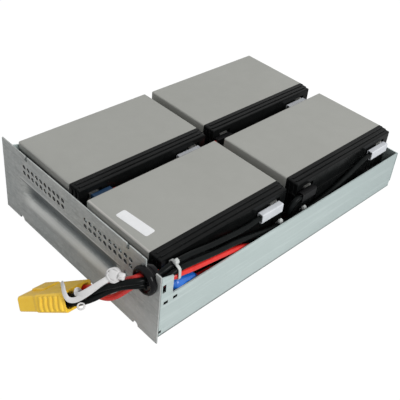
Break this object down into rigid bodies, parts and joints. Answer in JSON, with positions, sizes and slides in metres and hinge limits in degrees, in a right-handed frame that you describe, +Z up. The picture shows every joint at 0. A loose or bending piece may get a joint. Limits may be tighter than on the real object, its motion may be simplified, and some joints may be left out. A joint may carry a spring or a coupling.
{
  "type": "ups battery cartridge",
  "caption": "Slide-in battery cartridge: sealed lead-acid blocks lying in a folded steel tray, with vented front plate, finger grip, wire harness, and a two-pole plug on short leads",
  "frame": {"origin": "under the middle of the tray and front plate, level with the front plate's bottom edge", "axes": "+X to the right seen from the front plate, +Y from the front plate to the rear wall, +Z up"},
  "size_m": [0.22, 0.3987, 0.0784],
  "materials": {
    "galvanised_tray": "bright galvanised sheet",
    "galvanised_plate": "dull galvanised sheet",
    "foam": "closed-cell foam",
    "case_grey": "lightly grained",
    "lid_black": "satin",
    "terminal_tin": "tinned",
    "sleeve_blue": "soft vinyl",
    "sleeve_white": "soft nylon",
    "sleeve_black": "soft vinyl",
    "receptacle_brass": "tinned brass",
    "bushing_black": "polished nylon",
    "fuse_blue": "heat-shrink sleeve",
    "wire_black": "vinyl insulation",
    "wire_red": "vinyl insulation",
    "tie_nylon": "natural nylon",
    "plug_yellow": "moulded polycarbonate",
    "contact_silver": "silver plated"
  },
  "bodies": {
    "root": {"tray": "galvanised_tray", "front_plate": "galvanised_plate", "adhesive_pads": "foam", "front_left_case": "case_grey", "front_left_lid": "lid_black", "front_left_vent_cover": "lid_black", "front_left_front_terminal": "terminal_tin", "front_left_rear_terminal": "terminal_tin", "front_left_front_sleeve": "sleeve_blue", "front_left_rear_sleeve": "sleeve_white", "rear_left_case": "case_grey", "rear_left_lid": "lid_black", "rear_left_vent_cover": "lid_black", "rear_left_front_terminal": "terminal_tin", "rear_left_rear_terminal": "terminal_tin", "rear_left_front_sleeve": "sleeve_black", "rear_left_rear_sleeve": "sleeve_white", "front_right_case": "case_grey", "front_right_lid": "lid_black", "front_right_vent_cover": "lid_black", "front_right_front_terminal": "terminal_tin", "front_right_rear_terminal": "terminal_tin", "front_right_front_sleeve": "sleeve_black", "front_right_rear_sleeve": "sleeve_white", "rear_right_case": "case_grey", "rear_right_lid": "lid_black", "rear_right_vent_cover": "lid_black", "rear_right_front_terminal": "terminal_tin", "rear_right_rear_terminal": "terminal_tin", "rear_right_front_sleeve": "sleeve_black", "rear_right_rear_sleeve": "sleeve_white", "flag_receptacles": "receptacle_brass", "bushing": "bushing_black", "inline_fuse": "fuse_blue", "inner_black_1": "wire_black", "inner_black_2": "wire_black", "link_front": "wire_black", "link_rear": "wire_black", "lead_black_1": "wire_black", "lead_black_2": "wire_black", "inner_red_1": "wire_red", "inner_red_2": "wire_red", "fused_red_2": "wire_red", "lead_red_1": "wire_red", "lead_red_2": "wire_red", "front_cable_tie": "tie_nylon", "middle_cable_tie": "tie_nylon", "rear_cable_tie": "tie_nylon", "plug_housing": "plug_yellow", "black_contact": "contact_silver", "red_contact": "contact_silver", "pull_tie": "tie_nylon", "pull_tie_head": "tie_nylon", "tie_ring": "tie_nylon"}
  },
  "joints": []
}
